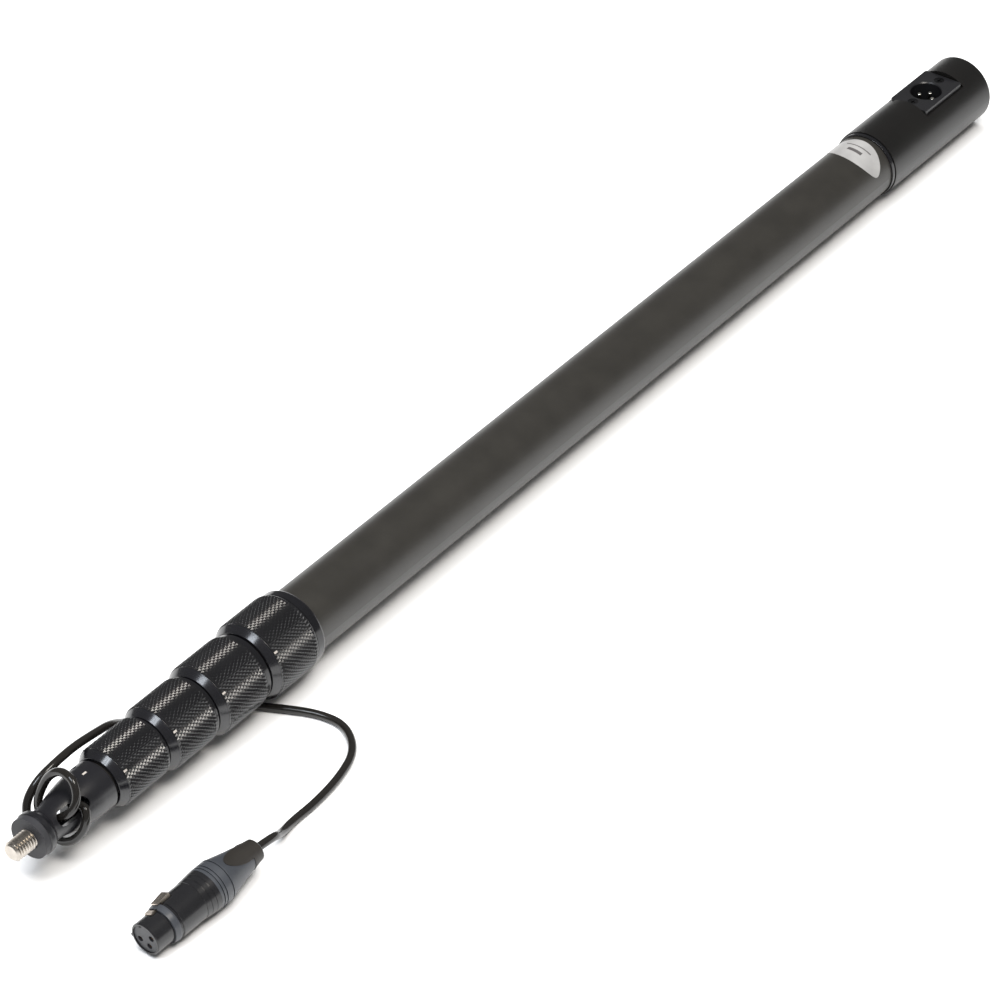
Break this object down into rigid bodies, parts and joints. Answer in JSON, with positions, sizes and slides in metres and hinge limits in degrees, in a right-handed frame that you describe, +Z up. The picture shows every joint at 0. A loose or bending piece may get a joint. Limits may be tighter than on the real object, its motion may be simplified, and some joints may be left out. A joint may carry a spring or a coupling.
{
  "type": "boom pole",
  "caption": "Collapsed telescopic boom pole with knurled lock nuts, a threaded microphone stud, a chassis socket in its base and a short cable tail that ends in a latching connector.",
  "frame": {"origin": "on the ground below the middle of the pole without its cable tail", "axes": "+X along the pole towards the microphone stud, +Z up; the pole rests on its base edge and on its own cable, so its axis rises 0.47 degrees towards +X"},
  "size_m": [0.7489, 0.1075, 0.0455],
  "materials": {
    "tube_black": "satin black anodised",
    "nut_black": "knurled black anodised",
    "ferrule_black": "polished black anodised",
    "fitting_black": "satin black anodised",
    "housing_black": "satin black anodised",
    "ring_black": "glossy black",
    "plug_black": "matte black",
    "bush_nylon": "natural nylon",
    "seal_rubber": "matte black",
    "stud_steel": "bright turned steel",
    "washer_rubber": "matte grey black",
    "screw_black": "black oxide",
    "label_grey": "printed light grey film, blank",
    "socket_metal": "satin black",
    "socket_plastic": "black moulded",
    "pin_silver": "silver plated",
    "cable_black": "glossy black jacket",
    "connector_black": "glossy black",
    "connector_grey": "blue grey moulded",
    "boot_rubber": "blue grey moulded",
    "grip_rubber": "matte black",
    "insert_grey": "dark grey moulded",
    "contact_gold": "gold plated",
    "latch_nickel": "nickel plated"
  },
  "bodies": {
    "main_section": {"main_tube": "tube_black", "base_housing": "housing_black", "housing_ring": "ring_black", "base_plug": "plug_black", "end_plug": "plug_black", "label": "label_grey", "socket_flange": "socket_metal", "socket_shell": "socket_metal", "socket_insert": "socket_plastic", "socket_pins": "pin_silver", "socket_screws": "screw_black", "ferrule_1": "ferrule_black", "collet_1": "bush_nylon"},
    "lock_nut_1": {"lock_nut_1": "nut_black", "nose_seal_1": "seal_rubber"},
    "section_2": {"section_tube_2": "tube_black", "guide_bush_2": "bush_nylon", "ferrule_2": "ferrule_black", "collet_2": "bush_nylon"},
    "lock_nut_2": {"lock_nut_2": "nut_black", "nose_seal_2": "seal_rubber"},
    "section_3": {"section_tube_3": "tube_black", "guide_bush_3": "bush_nylon", "ferrule_3": "ferrule_black", "collet_3": "bush_nylon"},
    "lock_nut_3": {"lock_nut_3": "nut_black", "nose_seal_3": "seal_rubber"},
    "section_4": {"section_tube_4": "tube_black", "guide_bush_4": "bush_nylon", "ferrule_4": "ferrule_black", "collet_4": "bush_nylon"},
    "lock_nut_4": {"lock_nut_4": "nut_black", "nose_seal_4": "seal_rubber"},
    "section_5": {"section_tube_5": "tube_black", "guide_bush_5": "bush_nylon", "tip_fitting": "fitting_black", "tip_screws": "screw_black", "tip_washer": "washer_rubber", "tip_stud": "stud_steel", "cable_grommet": "seal_rubber", "cord": "cable_black", "connector_shell": "connector_black", "connector_ring": "connector_grey", "connector_collar": "connector_grey", "connector_boot": "boot_rubber", "connector_grip": "grip_rubber", "connector_chuck": "plug_black", "connector_insert": "insert_grey", "connector_contacts": "contact_gold", "latch_pin": "latch_nickel"},
    "connector_latch": {"connector_latch": "latch_nickel"}
  },
  "joints": [
    {"name": "section_2_slide", "type": "slide", "parent": "main_section", "child": "section_2", "axis": [1, 0, 0.0081], "range_m": [0, 0.41]},
    {"name": "section_3_slide", "type": "slide", "parent": "section_2", "child": "section_3", "axis": [1, 0, 0.0081], "range_m": [0, 0.43]},
    {"name": "section_4_slide", "type": "slide", "parent": "section_3", "child": "section_4", "axis": [1, 0, 0.0081], "range_m": [0, 0.45]},
    {"name": "section_5_slide", "type": "slide", "parent": "section_4", "child": "section_5", "axis": [1, 0, 0.0081], "range_m": [0, 0.47]},
    {"name": "lock_nut_1_turn", "type": "hinge", "parent": "main_section", "child": "lock_nut_1", "pos_m": [0, 0, 0.02103], "axis": [1, 0, 0.0081], "range_deg": [0, 180]},
    {"name": "lock_nut_2_turn", "type": "hinge", "parent": "section_2", "child": "lock_nut_2", "pos_m": [0, 0, 0.02103], "axis": [1, 0, 0.0081], "range_deg": [0, 180]},
    {"name": "lock_nut_3_turn", "type": "hinge", "parent": "section_3", "child": "lock_nut_3", "pos_m": [0, 0, 0.02103], "axis": [1, 0, 0.0081], "range_deg": [0, 180]},
    {"name": "lock_nut_4_turn", "type": "hinge", "parent": "section_4", "child": "lock_nut_4", "pos_m": [0, 0, 0.02103], "axis": [1, 0, 0.0081], "range_deg": [0, 180]},
    {"name": "connector_latch_press", "type": "hinge", "parent": "section_5", "child": "connector_latch", "pos_m": [0.3512, 0.06595, 0.01695], "axis": [-0.0616, -0.864, -0.4996], "range_deg": [0, 3], "stiffness_Nm_per_rad": 0.05, "springref_deg": -1.72}
  ]
}
